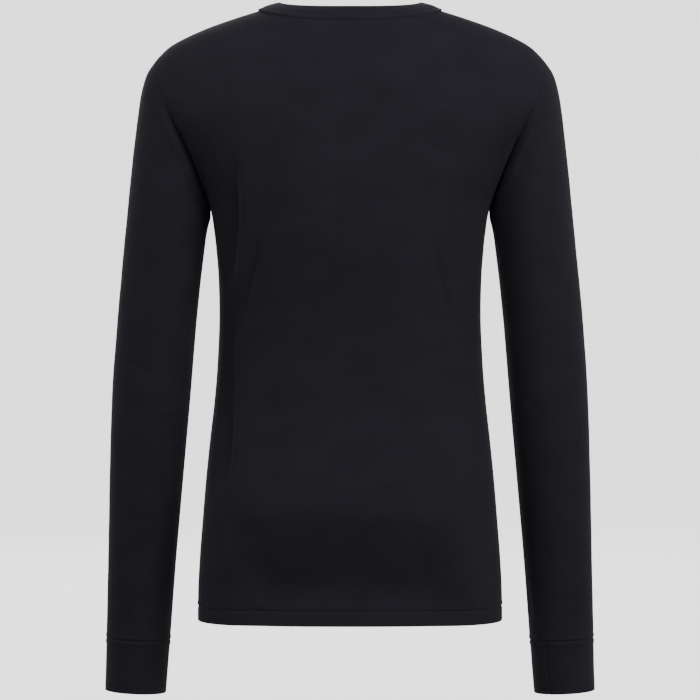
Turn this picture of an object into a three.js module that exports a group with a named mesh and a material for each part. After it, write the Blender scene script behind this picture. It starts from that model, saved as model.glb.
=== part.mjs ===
// A long-sleeved base layer top in fine jersey, filled out as if worn and open at the neck, hem and cuffs.
// It is cut as a front, a back, two set-in sleeves, two doubled cuffs and a doubled neckband.
// Millimetres, +Z up. The front faces -Y and +X is the wearer's left.
// The origin lies midway between the high shoulder points, where the shoulders carry the top.
import * as THREE from "three";

// Cloth and seams
const WALL = 1.4;
const DOUBLED_WALL = 2.4;
const SEAM_GAP = 0.3;
const LARGEST_MITRE = 2;
const CLOTH_COLOUR = 0x1d1c21;

// Half of the neckline's width, how far it drops below the high shoulder points at the back and front,
// and how steeply it leaves them (0.5 is an ellipse, and more is flatter there)
const NECKLINE = { halfWidth: 102, backDrop: 18, backCurve: 0.63, frontDrop: 92, frontCurve: 0.5 };

// The hem's turned-up band, and the level at which the side seam ends
const HEM_Z = -686;
const HEM_BAND = 19;
const HEM_STEP = 1;

// How far below the shoulder line the chest and back reach their full depth
const SHOULDER_ARCH = 130;

// The ridge that the shoulder seam follows; inside the neckline it is the slope of the neck
const RIDGE = [
  { x: -50, z: 18 },
  { x: 0, z: 28 },
  { x: 50, z: 18 },
  { x: 102, z: 0 },
  { x: 127, z: -7.9 },
  { x: 159, z: -19.2 },
  { x: 189.5, z: -32.8 },
  { x: 204, z: -41.5 },
  { x: 218, z: -55 },
];

// Level sections of the body: half width, depth behind and in front of the side seams at the middle, and
// how square the curve between is (2 is an ellipse). Above the underarm the armholes cut the sections
// short, and the half width is what they would have without that.
const BODY_SECTIONS = [
  { z: 0, side: 274, back: 97, front: 88, square: 2.4 },
  { z: -55, side: 274, back: 99.5, front: 90, square: 2.4 },
  { z: -65, side: 266, back: 100.5, front: 90, square: 2.4 },
  { z: -88, side: 248, back: 103.3, front: 91, square: 2.4 },
  { z: -110, side: 233, back: 106, front: 94, square: 2.4 },
  { z: -130, side: 216.5, back: 108.3, front: 99, square: 2.4 },
  { z: -150, side: 199, back: 110, front: 104, square: 2.4 },
  { z: -183, side: 177, back: 111, front: 111, square: 2.4 },
  { z: -204, side: 165.5, back: 110.7, front: 114.5, square: 2.4 },
  { z: -216, side: 160, back: 110, front: 115.8, square: 2.4 },
  { z: -229, side: 156, back: 109, front: 116.2, square: 2.4 },
  { z: -248, side: 153.2, back: 107, front: 115, square: 2.4 },
  { z: -270, side: 150.6, back: 104, front: 112, square: 2.4 },
  { z: -304, side: 148.1, back: 98, front: 107, square: 2.35 },
  { z: -340, side: 147.3, back: 92, front: 101, square: 2.3 },
  { z: -394, side: 149.3, back: 87, front: 96, square: 2.3 },
  { z: -440, side: 152.9, back: 88, front: 95, square: 2.35 },
  { z: -485, side: 157.9, back: 94, front: 97, square: 2.45 },
  { z: -530, side: 162.4, back: 102, front: 99, square: 2.55 },
  { z: -575, side: 166.1, back: 107, front: 101, square: 2.65 },
  { z: -620, side: 169.5, back: 105, front: 101, square: 2.75 },
  { z: -655, side: 171.2, back: 102, front: 100, square: 2.72 },
  { z: -686, side: 171.6, back: 101.5, front: 100, square: 2.68 },
];

// Rings of the left sleeve from the armhole to the cuff's edge: the point next to the body, the point
// furthest from it, the middle's place and half the depth along Y, how much of the armhole seam's own
// shape is left in the ring, and the number of steps to the next ring
const SLEEVE_RINGS = [
  { innerX: 156, innerZ: -229, outerX: 218, outerZ: -55, midY: 0, halfY: 57, seam: 1, steps: 1 },
  { innerX: 158.2, innerZ: -236, outerX: 229.5, outerZ: -72, midY: 0, halfY: 56.5, seam: 0.55, steps: 1 },
  { innerX: 159.8, innerZ: -241, outerX: 235.5, outerZ: -92, midY: 0, halfY: 56, seam: 0.3, steps: 1 },
  { innerX: 161.2, innerZ: -247, outerX: 239.5, outerZ: -117, midY: 0, halfY: 55.3, seam: 0.15, steps: 1 },
  { innerX: 162.8, innerZ: -256, outerX: 243.6, outerZ: -152, midY: 0, halfY: 54.3, seam: 0.05, steps: 1 },
  { innerX: 164.6, innerZ: -270, outerX: 248.6, outerZ: -198, midY: -0.5, halfY: 52.5, seam: 0, steps: 2 },
  { innerX: 168.3, innerZ: -300, outerX: 255, outerZ: -262, midY: -1, halfY: 49.5, seam: 0, steps: 2 },
  { innerX: 173.6, innerZ: -350, outerX: 262, outerZ: -335, midY: -3, halfY: 46.5, seam: 0, steps: 3 },
  { innerX: 181.4, innerZ: -441, outerX: 269.3, outerZ: -432, midY: -8, halfY: 44, seam: 0, steps: 3 },
  { innerX: 190, innerZ: -532, outerX: 273, outerZ: -526, midY: -17, halfY: 41.5, seam: 0, steps: 3 },
  { innerX: 198.8, innerZ: -626, outerX: 275.8, outerZ: -622, midY: -29, halfY: 38.5, seam: 0, steps: 3 },
  { innerX: 206, innerZ: -715, outerX: 278.6, outerZ: -712, midY: -38, halfY: 35.3, seam: 0, steps: 3 },
  { innerX: 211, innerZ: -775, outerX: 280.6, outerZ: -771.5, midY: -43, halfY: 33.5, seam: 0, steps: 0 },
];
const CUFF_ROW = SLEEVE_RINGS.length - 2;
// A sleeve is one cut piece, but its solid is parted here so that collision can follow the long hollow
const ELBOW_ROW = 8;

// The armhole draws in towards the underarm, where its seam lies in a deep groove: how much narrower it
// gets, and the share of its height up to which it does
const UNDERARM_PINCH = { share: 0.5, upTo: 0.66, curve: 1.3 };

// How far the neckband rises and leans in from its seam, and the rings that it takes
const NECKBAND_LEAN = [
  { place: "back", rise: 15, inward: 16 },
  { place: "side", rise: 8, inward: 23 },
  { place: "front", rise: 20, inward: 7 },
];
const NECKBAND_STEPS = 3;
const NECKBAND_BULGE = 1.2;

// Soft troughs in the cloth, as lines down a panel with their width and depth
const FOLDS = [
  { panel: "back", fromX: 125, fromZ: -178, toX: 135, toZ: -300, width: 12, depth: 3.2 },
  { panel: "back", fromX: 98, fromZ: -262, toX: 122, toZ: -354, width: 12, depth: 2.6 },
  { panel: "back", fromX: -94, fromZ: -262, toX: -117, toZ: -356, width: 12, depth: 2.2 },
  { panel: "front", fromX: 120, fromZ: -190, toX: 78, toZ: -262, width: 14, depth: 3 },
  { panel: "front", fromX: -118, fromZ: -196, toX: -84, toZ: -250, width: 13, depth: 2.6 },
  { panel: "front", fromX: -104, fromZ: -300, toX: -60, toZ: -352, width: 14, depth: 2.2 },
];

// How finely each piece is divided
const NECK_COLUMNS = 7;
const SHOULDER_COLUMNS = 8;
const HALF_COLUMNS = NECK_COLUMNS + SHOULDER_COLUMNS;
const ARMHOLE_ROWS = 14;
const BODY_ROWS = 20;
const FINE_STEPS = 120;
const HALVINGS = 40;

const vector = (x, y, z) => new THREE.Vector3(x, y, z);
const between = (a, b, share) => a + (b - a) * share;

// A smooth curve through one column of a table, which stays within the values of each pair of rows.
function curveThrough(rows, at, value) {
  const order = [...rows].sort((a, b) => a[at] - b[at]);
  const xs = order.map((row) => row[at]);
  const ys = order.map((row) => row[value]);
  const chord = xs.slice(1).map((x, i) => (ys[i + 1] - ys[i]) / (x - xs[i]));
  const slope = xs.map((_, i) => {
    if (i === 0) return chord[0];
    if (i === xs.length - 1) return chord[i - 1];
    const [before, after] = [chord[i - 1], chord[i]];
    return before * after <= 0 ? 0 : (2 * before * after) / (before + after);
  });
  return (x) => {
    let i = 0;
    while (i < xs.length - 2 && x > xs[i + 1]) i += 1;
    const width = xs[i + 1] - xs[i];
    const t = THREE.MathUtils.clamp((x - xs[i]) / width, 0, 1);
    const [t2, t3] = [t * t, t * t * t];
    return (
      ys[i] * (2 * t3 - 3 * t2 + 1) +
      slope[i] * width * (t3 - 2 * t2 + t) +
      ys[i + 1] * (3 * t2 - 2 * t3) +
      slope[i + 1] * width * (t3 - t2)
    );
  };
}

const ridgeZ = curveThrough(RIDGE, "x", "z");
const bodySide = curveThrough(BODY_SECTIONS, "z", "side");
const bodySquare = curveThrough(BODY_SECTIONS, "z", "square");
const bodyDepth = {
  back: curveThrough(BODY_SECTIONS, "z", "back"),
  front: curveThrough(BODY_SECTIONS, "z", "front"),
};
const UNDERARM_Z = SLEEVE_RINGS[0].innerZ;
const TIP_X = SLEEVE_RINGS[0].outerX;
const TIP_Z = SLEEVE_RINGS[0].outerZ;
const ARMHOLE_DEPTH = SLEEVE_RINGS[0].halfY;

// How far the cloth has come round from the shoulder ridge to its full depth, from 0 to 1
function shoulderArch(x, z) {
  const drop = THREE.MathUtils.clamp((ridgeZ(Math.abs(x)) - z) / SHOULDER_ARCH, 0, 1);
  return Math.sqrt(1 - (1 - drop) ** 2);
}

// The distance of a panel's cloth from the plane of the side seams
function depthAt(panel, x, z) {
  const square = bodySquare(z);
  const outward = Math.min(Math.abs(x) / bodySide(z), 1);
  return bodyDepth[panel](z) * shoulderArch(x, z) * (1 - outward ** square) ** (1 / square);
}

// What is left of the armhole's width at a share of its height, counted from the underarm
function pinchAt(height) {
  const below = Math.max(1 - height / UNDERARM_PINCH.upTo, 0);
  return 1 - UNDERARM_PINCH.share * below ** UNDERARM_PINCH.curve;
}

// How far out the armhole lies on a panel at a level. The seam's depth at each level is that of a pinched
// ellipse from the underarm to the shoulder tip, and its place is where the panel has that depth.
function armholeX(panel, z) {
  const height = (z - UNDERARM_Z) / (TIP_Z - UNDERARM_Z);
  if (height <= 0) return bodySide(UNDERARM_Z);
  if (height >= 1) return TIP_X;
  const depth = ARMHOLE_DEPTH * 2 * Math.sqrt(height * (1 - height)) * pinchAt(height);
  let [near, far] = [NECKLINE.halfWidth, bodySide(z)];
  for (let halving = 0; halving < HALVINGS; halving += 1) {
    const middle = (near + far) / 2;
    if (depthAt(panel, middle, z) > depth) near = middle;
    else far = middle;
  }
  return near;
}

// The left sleeve's surface: row counts along SLEEVE_RINGS, and turn goes from the shoulder (0) by the
// back to the underarm (half a turn) and by the front to the shoulder again.
const numberedRings = SLEEVE_RINGS.map((ring, row) => ({ ...ring, row }));
const ringCurve = Object.fromEntries(
  ["innerX", "innerZ", "outerX", "outerZ", "midY", "halfY", "seam"].map((key) => [
    key,
    curveThrough(numberedRings, "row", key),
  ]),
);
function sleevePoint(row, turn) {
  const ring = Object.fromEntries(Object.entries(ringCurve).map(([key, at]) => [key, at(row)]));
  const [along, across] = [Math.cos(turn), Math.sin(turn)];
  const share = (1 + along) / 2;
  const seamX = armholeX(across > 0 ? "back" : "front", between(UNDERARM_Z, TIP_Z, share));
  const sway = ring.seam * (seamX - between(SLEEVE_RINGS[0].innerX, TIP_X, share));
  return vector(
    between(ring.innerX, ring.outerX, share) + sway,
    ring.midY + ring.halfY * across * between(1, pinchAt(share), ring.seam),
    between(ring.innerZ, ring.outerZ, share),
  );
}

// The top edge of a panel: the neckline, then the shoulder seam; share runs from the middle to the tip
const HIGH_SHOULDER_SHARE = NECKLINE.halfWidth / TIP_X;
function topEdgeZ(panel, share) {
  const x = share * TIP_X;
  if (x >= NECKLINE.halfWidth) return ridgeZ(x);
  const [drop, curve] = {
    back: [NECKLINE.backDrop, NECKLINE.backCurve],
    front: [NECKLINE.frontDrop, NECKLINE.frontCurve],
  }[panel];
  return -drop * (1 - (x / NECKLINE.halfWidth) ** 2) ** curve;
}

// One point of a panel's left half. Rows with rise 0 are level at z; rise 1 is the top edge.
function panelPoint(panel, z, rise, share) {
  const side = z > UNDERARM_Z ? armholeX(panel, z) : bodySide(z);
  const x = share * side;
  const level = rise > 0 ? between(UNDERARM_Z, topEdgeZ(panel, share), rise) : z;
  const outward = panel === "back" ? 1 : -1;
  return vector(x, outward * depthAt(panel, x, level), level);
}

// Lengths along a line of points, from its start to each point
function lengthsAlong(points) {
  const lengths = [0];
  points.slice(1).forEach((p, i) => lengths.push(lengths[i] + p.distanceTo(points[i])));
  return lengths;
}

// A finely stepped half row, closer together towards the high shoulder point and the side
function fineHalfRow(panel, z, rise) {
  const eased = (i) => Math.sin((Math.PI / 2) * (i / FINE_STEPS));
  const shares = [];
  for (let i = 0; i <= FINE_STEPS; i += 1) shares.push(HIGH_SHOULDER_SHARE * eased(i));
  for (let i = 1; i <= FINE_STEPS; i += 1) {
    shares.push(between(HIGH_SHOULDER_SHARE, 1, eased(i)));
  }
  return shares.map((share) => panelPoint(panel, z, rise, share));
}

// The share of the top edge's length that the neckline takes
function necklineShare(panel) {
  const lengths = lengthsAlong(fineHalfRow(panel, TIP_Z, 1));
  return lengths[FINE_STEPS] / lengths.at(-1);
}

// A half row in columns: NECK_COLUMNS up to the line below the high shoulder point, then the rest, which
// lie closer together towards the armhole and the side
function halfRow(panel, z, rise, neckShare) {
  const fine = fineHalfRow(panel, z, rise);
  const lengths = lengthsAlong(fine);
  const total = lengths.at(-1);
  const row = [];
  for (let column = 0; column <= HALF_COLUMNS; column += 1) {
    const past = (column - NECK_COLUMNS) / SHOULDER_COLUMNS;
    const closer = (past + Math.sin((Math.PI / 2) * past)) / 2;
    const share = past <= 0 ? neckShare * (column / NECK_COLUMNS) : between(neckShare, 1, closer);
    const target = share * total;
    let i = 1;
    while (i < lengths.length - 1 && lengths[i] < target) i += 1;
    const part = (target - lengths[i - 1]) / (lengths[i] - lengths[i - 1]);
    row.push(fine[i - 1].clone().lerp(fine[i], THREE.MathUtils.clamp(part, 0, 1)));
  }
  return row;
}

// How deep the troughs are at a point of a panel
function foldDepth(panel, point) {
  return FOLDS.filter((fold) => fold.panel === panel).reduce((depth, fold) => {
    const [dx, dz] = [fold.toX - fold.fromX, fold.toZ - fold.fromZ];
    const [px, pz] = [point.x - fold.fromX, point.z - fold.fromZ];
    const length = Math.hypot(dx, dz);
    const along = (px * dx + pz * dz) / length ** 2;
    if (along <= 0 || along >= 1) return depth;
    const across = Math.abs(px * dz - pz * dx) / length / fold.width;
    return depth + fold.depth * Math.sin(Math.PI * along) * Math.exp(-across * across);
  }, 0);
}

// A whole panel as rows of points from the hem up, each from the wearer's right to the left. The rows lie
// closer together towards the underarm.
function panelRows(panel) {
  const neckShare = necklineShare(panel);
  const levels = [{ z: HEM_Z }, { z: HEM_Z + HEM_BAND }];
  const bodyStart = HEM_Z + HEM_BAND + HEM_STEP;
  for (let i = 0; i <= BODY_ROWS; i += 1) {
    const share = i / BODY_ROWS;
    const closer = (share + Math.sin((Math.PI / 2) * share)) / 2;
    levels.push({ z: between(bodyStart, UNDERARM_Z, closer) });
  }
  for (let i = 1; i <= ARMHOLE_ROWS; i += 1) {
    const rise = (1 - Math.cos((Math.PI * i) / ARMHOLE_ROWS)) / 2;
    levels.push({ z: between(UNDERARM_Z, TIP_Z, rise), rise });
  }
  return levels.map(({ z, rise = 0 }) => {
    const left = halfRow(panel, z, rise, neckShare);
    const right = left.slice(1).reverse();
    const row = [...right.map((p) => vector(-p.x, p.y, p.z)), ...left];
    row.forEach((p) => {
      p.y -= Math.sign(p.y) * foldDepth(panel, p);
    });
    return row;
  });
}

// Unit normals of a grid of points, facing away from the grid's own inside
function normalsOf(grid, closed, facing) {
  const columns = grid[0].length;
  return grid.map((row, i) =>
    row.map((point, j) => {
      const up = grid[Math.min(i + 1, grid.length - 1)][j];
      const down = grid[Math.max(i - 1, 0)][j];
      const next = closed ? row[(j + 1) % columns] : row[Math.min(j + 1, columns - 1)];
      const last = closed ? row[(j + columns - 1) % columns] : row[Math.max(j - 1, 0)];
      const normal = next.clone().sub(last).cross(up.clone().sub(down)).normalize();
      return normal.multiplyScalar(facing);
    }),
  );
}

// A piece of cloth: its outer points, their normals, and the wall's thickness along each
function clothPiece(name, grid, { closed = false, facing = 1, wall = () => WALL }) {
  const thickness = grid.map((row, i) => row.map(() => wall(i)));
  return { name, grid, closed, normals: normalsOf(grid, closed, facing), thickness };
}

// Parts two pieces along a seam that runs all round. Each stop names the cells that meet there; inside
// gives a cell's neighbour within its piece. The normal at the stop up.stop points to up.direction. Where
// the seam lies in a hollow each wall keeps its own normal, and elsewhere both walls take the one
// between, so that their edges stay parallel.
function partSeam(stops, up) {
  const points = stops.map(({ first }) => first[0].piece.grid[first[0].i][first[0].j].clone());
  const middle = (cells) => {
    const sum = vector(0, 0, 0);
    cells.forEach(({ piece, inside }) => sum.add(piece.grid[inside.i][inside.j]));
    return sum.divideScalar(cells.length);
  };
  const frames = stops.map(({ first, second }, k) => {
    const next = points[(k + 1) % points.length];
    const last = points[(k + points.length - 1) % points.length];
    const along = next.clone().sub(last).normalize();
    const square = (v) => v.addScaledVector(along, -v.dot(along)).normalize();
    const intoFirst = square(middle(first).sub(points[k]));
    const intoSecond = square(middle(second).sub(points[k]));
    const across = intoSecond.clone().sub(intoFirst).normalize();
    return { along, intoFirst, intoSecond, across, normal: along.clone().cross(across) };
  });
  const turned = frames[up.stop].normal.dot(up.direction) < 0 ? -1 : 1;
  frames.forEach((frame, k) => {
    frame.normal.multiplyScalar(turned);
    const hollow = frame.intoFirst.clone().add(frame.intoSecond).dot(frame.normal) > 0;
    const sides = [
      { cells: stops[k].first, into: frame.intoFirst, shift: -SEAM_GAP / 2 },
      { cells: stops[k].second, into: frame.intoSecond, shift: SEAM_GAP / 2 },
    ];
    sides.forEach(({ cells, into, shift }) => {
      const own = frame.along.clone().cross(into);
      if (own.dot(frame.normal) < 0) own.negate();
      const facing = own.dot(frame.normal);
      const mitre = facing * LARGEST_MITRE < 1 ? LARGEST_MITRE : 1 / facing;
      cells.forEach(({ piece, i, j }) => {
        piece.grid[i][j] = points[k].clone().addScaledVector(frame.across, shift);
        piece.normals[i][j] = (hollow ? own : frame.normal).clone();
        piece.thickness[i][j] *= hollow ? 1 : mitre;
      });
    });
  });
}

// Parts the front from the back where they meet, in the plane of the side and shoulder seams
function partAtMiddlePlane(piece, cells, outward) {
  cells.forEach(([i, j]) => {
    piece.grid[i][j].y = (outward * SEAM_GAP) / 2;
    piece.normals[i][j].y = 0;
    piece.normals[i][j].normalize();
  });
}

// The closed solid of a piece: the outer points, the points one wall inside them, and the edges between
function solidOf(piece) {
  const { grid, normals, thickness, closed } = piece;
  const [rows, columns] = [grid.length, grid[0].length];
  const layerSize = rows * columns;
  const positions = [];
  const push = (p) => positions.push(p.x, p.y, p.z);
  grid.forEach((row) => row.forEach(push));
  grid.forEach((row, i) =>
    row.forEach((p, j) => push(p.clone().addScaledVector(normals[i][j], -thickness[i][j]))),
  );
  const corner = (k) => vector(...positions.slice(3 * k, 3 * k + 3));
  const index = [];
  const quad = (a, b, c, d) => index.push(a, b, c, a, c, d);
  const cell = (i, j) => i * columns + (j % columns);
  const lastColumn = closed ? columns : columns - 1;
  for (let i = 0; i < rows - 1; i += 1) {
    for (let j = 0; j < lastColumn; j += 1) {
      let corners = [cell(i, j), cell(i, j + 1), cell(i + 1, j + 1), cell(i + 1, j)];
      const [p, q, r, s] = corners.map(corner);
      if (q.distanceTo(s) < p.distanceTo(r)) corners = [...corners.slice(1), corners[0]];
      quad(...corners);
      const [a, b, c, d] = corners.map((k) => k + layerSize);
      quad(a, d, c, b);
    }
  }
  const rim = (a, b) => quad(b, a, a + layerSize, b + layerSize);
  for (let j = 0; j < lastColumn; j += 1) {
    rim(cell(0, j), cell(0, j + 1));
    rim(cell(rows - 1, j + 1), cell(rows - 1, j));
  }
  for (let i = 0; i < rows - 1 && !closed; i += 1) {
    rim(cell(i + 1, 0), cell(i, 0));
    rim(cell(i, columns - 1), cell(i + 1, columns - 1));
  }
  let volume = 0;
  for (let t = 0; t < index.length; t += 3) {
    volume += corner(index[t]).dot(corner(index[t + 1]).cross(corner(index[t + 2])));
  }
  if (volume < 0) index.reverse();
  const geometry = new THREE.BufferGeometry();
  geometry.setAttribute("position", new THREE.Float32BufferAttribute(positions, 3));
  geometry.setIndex(index);
  geometry.computeVertexNormals();
  return geometry;
}

// The front and back panels
const hemWall = (i) => (i < 2 ? DOUBLED_WALL : WALL);
const back = clothPiece("back", panelRows("back"), { facing: -1, wall: hemWall });
const front = clothPiece("front", panelRows("front"), { facing: 1, wall: hemWall });
const TOP_ROW = back.grid.length - 1;
const UNDERARM_ROW = TOP_ROW - ARMHOLE_ROWS;
const LAST_COLUMN = 2 * HALF_COLUMNS;

// The sleeve and cuff of one side, +1 for the wearer's left and -1 for the right
const AROUND = 2 * ARMHOLE_ROWS;
function sleeveRows(side, fromRow, toRow) {
  const rows = [];
  for (let row = fromRow; row <= toRow; row += 1) {
    const steps = row < toRow ? SLEEVE_RINGS[row].steps : 1;
    for (let step = 0; step < steps; step += 1) {
      const ring = [];
      for (let k = 0; k < AROUND; k += 1) {
        const p = sleevePoint(row + step / steps, (2 * Math.PI * k) / AROUND);
        ring.push(vector(side * p.x, p.y, p.z));
      }
      rows.push(ring);
    }
  }
  return rows;
}

// The stops where one tube ends and the next begins
function stopsBetween(above, below) {
  const last = above.grid.length - 1;
  return above.grid[last].map((_, j) => ({
    first: [{ piece: above, i: last, j, inside: { i: last - 1, j } }],
    second: [{ piece: below, i: 0, j, inside: { i: 1, j } }],
  }));
}

function sleeveAndCuff(side, word) {
  const tube = (name, fromRow, toRow, wall) =>
    clothPiece(name, sleeveRows(side, fromRow, toRow), { closed: true, facing: -side, wall });
  const upper = tube(`sleeve_${word}_upper`, 0, ELBOW_ROW, () => WALL);
  const lower = tube(`sleeve_${word}_lower`, ELBOW_ROW, CUFF_ROW, () => WALL);
  const cuff = tube(`cuff_${word}`, CUFF_ROW, CUFF_ROW + 1, () => DOUBLED_WALL);
  const edgeColumn = side > 0 ? LAST_COLUMN : 0;
  const insideColumn = edgeColumn - side;
  const armhole = [];
  for (let k = 0; k < AROUND; k += 1) {
    const climb = k <= ARMHOLE_ROWS ? ARMHOLE_ROWS - k : k - ARMHOLE_ROWS;
    const i = UNDERARM_ROW + climb;
    const cellOn = (piece) => ({ piece, i, j: edgeColumn, inside: { i: i - 1, j: insideColumn } });
    const onSeam = k === 0 || k === ARMHOLE_ROWS;
    const panels = onSeam ? [back, front] : [k < ARMHOLE_ROWS ? back : front];
    armhole.push({
      first: panels.map(cellOn),
      second: [{ piece: upper, i: 0, j: k, inside: { i: 1, j: k } }],
    });
  }
  partSeam(armhole, { stop: 0, direction: vector(0, 0, 1) });
  partSeam(stopsBetween(upper, lower), { stop: 0, direction: vector(side, 0, 0) });
  partSeam(stopsBetween(lower, cuff), { stop: 0, direction: vector(side, 0, 0) });
  return [upper, lower, cuff];
}

// The neckband, round the neckline from the back by the wearer's left
function neckbandStops() {
  const middleColumn = HALF_COLUMNS;
  const stops = [];
  const add = (panels, column) => {
    const cellOn = (piece) => ({ piece, i: TOP_ROW, j: column, inside: { i: TOP_ROW - 1, j: column } });
    stops.push(panels.map(cellOn));
  };
  for (let k = 0; k < NECK_COLUMNS; k += 1) add([back], middleColumn + k);
  add([back, front], middleColumn + NECK_COLUMNS);
  for (let k = NECK_COLUMNS - 1; k > -NECK_COLUMNS; k -= 1) add([front], middleColumn + k);
  add([back, front], middleColumn - NECK_COLUMNS);
  for (let k = 1 - NECK_COLUMNS; k < 0; k += 1) add([back], middleColumn + k);
  return stops;
}

function makeNeckband() {
  const lean = Object.fromEntries(NECKBAND_LEAN.map((row) => [row.place, row]));
  const stops = neckbandStops();
  const seam = stops.map(([{ piece, i, j }]) => piece.grid[i][j]);
  const grid = [];
  for (let step = 0; step <= NECKBAND_STEPS; step += 1) {
    const share = step / NECKBAND_STEPS;
    const bulge = NECKBAND_BULGE * Math.sin(Math.PI * share);
    grid.push(
      seam.map((p) => {
        const towardsMiddle = 1 - (p.x / NECKLINE.halfWidth) ** 2;
        const end = p.y > 0 ? lean.back : lean.front;
        const rise = between(lean.side.rise, end.rise, towardsMiddle) * share;
        const inward = between(lean.side.inward, end.inward, towardsMiddle) * share - bulge;
        const flat = Math.hypot(p.x, p.y);
        return vector(p.x * (1 - inward / flat), p.y * (1 - inward / flat), p.z + rise + bulge / 2);
      }),
    );
  }
  const band = clothPiece("neckband", grid, { closed: true, facing: -1, wall: () => DOUBLED_WALL });
  const joined = stops.map((first, j) => ({
    first,
    second: [{ piece: band, i: 0, j, inside: { i: 1, j } }],
  }));
  partSeam(joined, { stop: NECK_COLUMNS, direction: vector(0, 0, 1) });
  return band;
}

const neckband = makeNeckband();
const sleeves = [...sleeveAndCuff(1, "left"), ...sleeveAndCuff(-1, "right")];

// The side and shoulder seams, between the front and the back
const seamCells = [];
const seamSides = [
  [0, HALF_COLUMNS - NECK_COLUMNS],
  [LAST_COLUMN, HALF_COLUMNS + NECK_COLUMNS],
];
for (const [edge, inner] of seamSides) {
  for (let i = 0; i <= UNDERARM_ROW; i += 1) seamCells.push([i, edge]);
  for (let j = Math.min(edge, inner); j <= Math.max(edge, inner); j += 1) seamCells.push([TOP_ROW, j]);
}
partAtMiddlePlane(back, seamCells, 1);
partAtMiddlePlane(front, seamCells, -1);

// The whole top
const cloth = new THREE.MeshStandardMaterial({ color: CLOTH_COLOUR, roughness: 0.92, metalness: 0 });
const top = new THREE.Group();
[back, front, ...sleeves, neckband].forEach((piece) => {
  const mesh = new THREE.Mesh(solidOf(piece), cloth.clone());
  mesh.name = piece.name;
  top.add(mesh);
});

export default top;
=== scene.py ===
"""The looks of a long-sleeved base layer top in fine near-black jersey, filled out as if worn."""

import functools
import math

import bpy
import numpy as np
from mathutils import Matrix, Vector


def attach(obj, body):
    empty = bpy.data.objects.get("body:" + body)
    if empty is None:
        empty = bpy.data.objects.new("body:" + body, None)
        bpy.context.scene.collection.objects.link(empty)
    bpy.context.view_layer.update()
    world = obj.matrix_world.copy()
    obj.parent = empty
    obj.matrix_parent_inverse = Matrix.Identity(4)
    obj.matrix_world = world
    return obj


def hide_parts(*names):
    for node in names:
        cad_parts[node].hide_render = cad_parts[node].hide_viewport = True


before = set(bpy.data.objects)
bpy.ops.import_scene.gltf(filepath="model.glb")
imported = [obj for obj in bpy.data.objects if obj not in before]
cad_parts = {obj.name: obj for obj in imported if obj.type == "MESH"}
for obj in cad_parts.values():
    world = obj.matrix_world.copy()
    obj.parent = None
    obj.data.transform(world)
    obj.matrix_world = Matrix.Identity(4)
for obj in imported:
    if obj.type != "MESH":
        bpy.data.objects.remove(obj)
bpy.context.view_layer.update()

MM = 0.001

# The camera stands level behind the top, at the photograph's angle
CAMERA_Y = 3.0
CAMERA_Z = -0.3831
CAMERA_LENS = 136.5
CAMERA_SENSOR = 36
CAMERA_REACH = 100

camera_data = bpy.data.cameras.new("camera")
camera_data.lens = CAMERA_LENS
camera_data.sensor_width = CAMERA_SENSOR
camera_data.clip_end = CAMERA_REACH
camera = bpy.data.objects.new("camera", camera_data)
camera.location = (0, CAMERA_Y, CAMERA_Z)
camera.rotation_euler = (math.pi / 2, 0, math.pi)
bpy.context.scene.collection.objects.link(camera)
bpy.context.scene.camera = camera


def columns(names, rows):
    """A table of text rows, as one array for each named column."""
    rows = [row.split() for row in rows.strip().splitlines()]
    return dict(zip(names.split(), np.array(rows, float).T))


# Sizes that the solids have too, in millimetres

NECK_HALF_WIDTH = 102
# How far the neckline drops at its middle, and how full its curve is
NECK_CURVE = {"back": (18, 0.63), "front": (92, 0.5)}
HEM_Z = -686
HEM_BAND = 19
# How far below the shoulder's ridge the cloth comes out to the body's full depth
SHOULDER_ARCH = 130

# The line along the top of the shoulders
RIDGE = columns(
    "x z",
    """
    -50 18
    0 28
    50 18
    102 0
    127 -7.9
    159 -19.2
    189.5 -32.8
    204 -41.5
    218 -55
    """,
)

# Half the width at each level, how far the back and the front come out, and how square it is
BODY_SECTIONS = columns(
    "z side back front square",
    """
    0 274 97 88 2.4
    -55 274 99.5 90 2.4
    -65 266 100.5 90 2.4
    -88 248 103.3 91 2.4
    -110 233 106 94 2.4
    -130 216.5 108.3 99 2.4
    -150 199 110 104 2.4
    -183 177 111 111 2.4
    -204 165.5 110.7 114.5 2.4
    -216 160 110 115.8 2.4
    -229 156 109 116.2 2.4
    -248 153.2 107 115 2.4
    -270 150.6 104 112 2.4
    -304 148.1 98 107 2.35
    -340 147.3 92 101 2.3
    -394 149.3 87 96 2.3
    -440 152.9 88 95 2.35
    -485 157.9 94 97 2.45
    -530 162.4 102 99 2.55
    -575 166.1 107 101 2.65
    -620 169.5 105 101 2.75
    -655 171.2 102 100 2.72
    -686 171.6 101.5 100 2.68
    """,
)

# The sleeve's rings, from the armhole to the cuff's end
SLEEVE_RINGS = columns(
    "row innerX innerZ outerX outerZ midY halfY seam",
    """
    0 156 -229 218 -55 0 57 1
    1 158.2 -236 229.5 -72 0 56.5 0.55
    2 159.8 -241 235.5 -92 0 56 0.3
    3 161.2 -247 239.5 -117 0 55.3 0.15
    4 162.8 -256 243.6 -152 0 54.3 0.05
    5 164.6 -270 248.6 -198 -0.5 52.5 0
    6 168.3 -300 255 -262 -1 49.5 0
    7 173.6 -350 262 -335 -3 46.5 0
    8 181.4 -441 269.3 -432 -8 44 0
    9 190 -532 273 -526 -17 41.5 0
    10 198.8 -626 275.8 -622 -29 38.5 0
    11 206 -715 278.6 -712 -38 35.3 0
    12 211 -775 280.6 -771.5 -43 33.5 0
    """,
)
CUFF_ROW = 11
# The armhole narrows towards the underarm: by how much, up to what height, and how quickly
PINCH_SHARE, PINCH_UP_TO, PINCH_CURVE = 0.5, 0.66, 1.3

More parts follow.
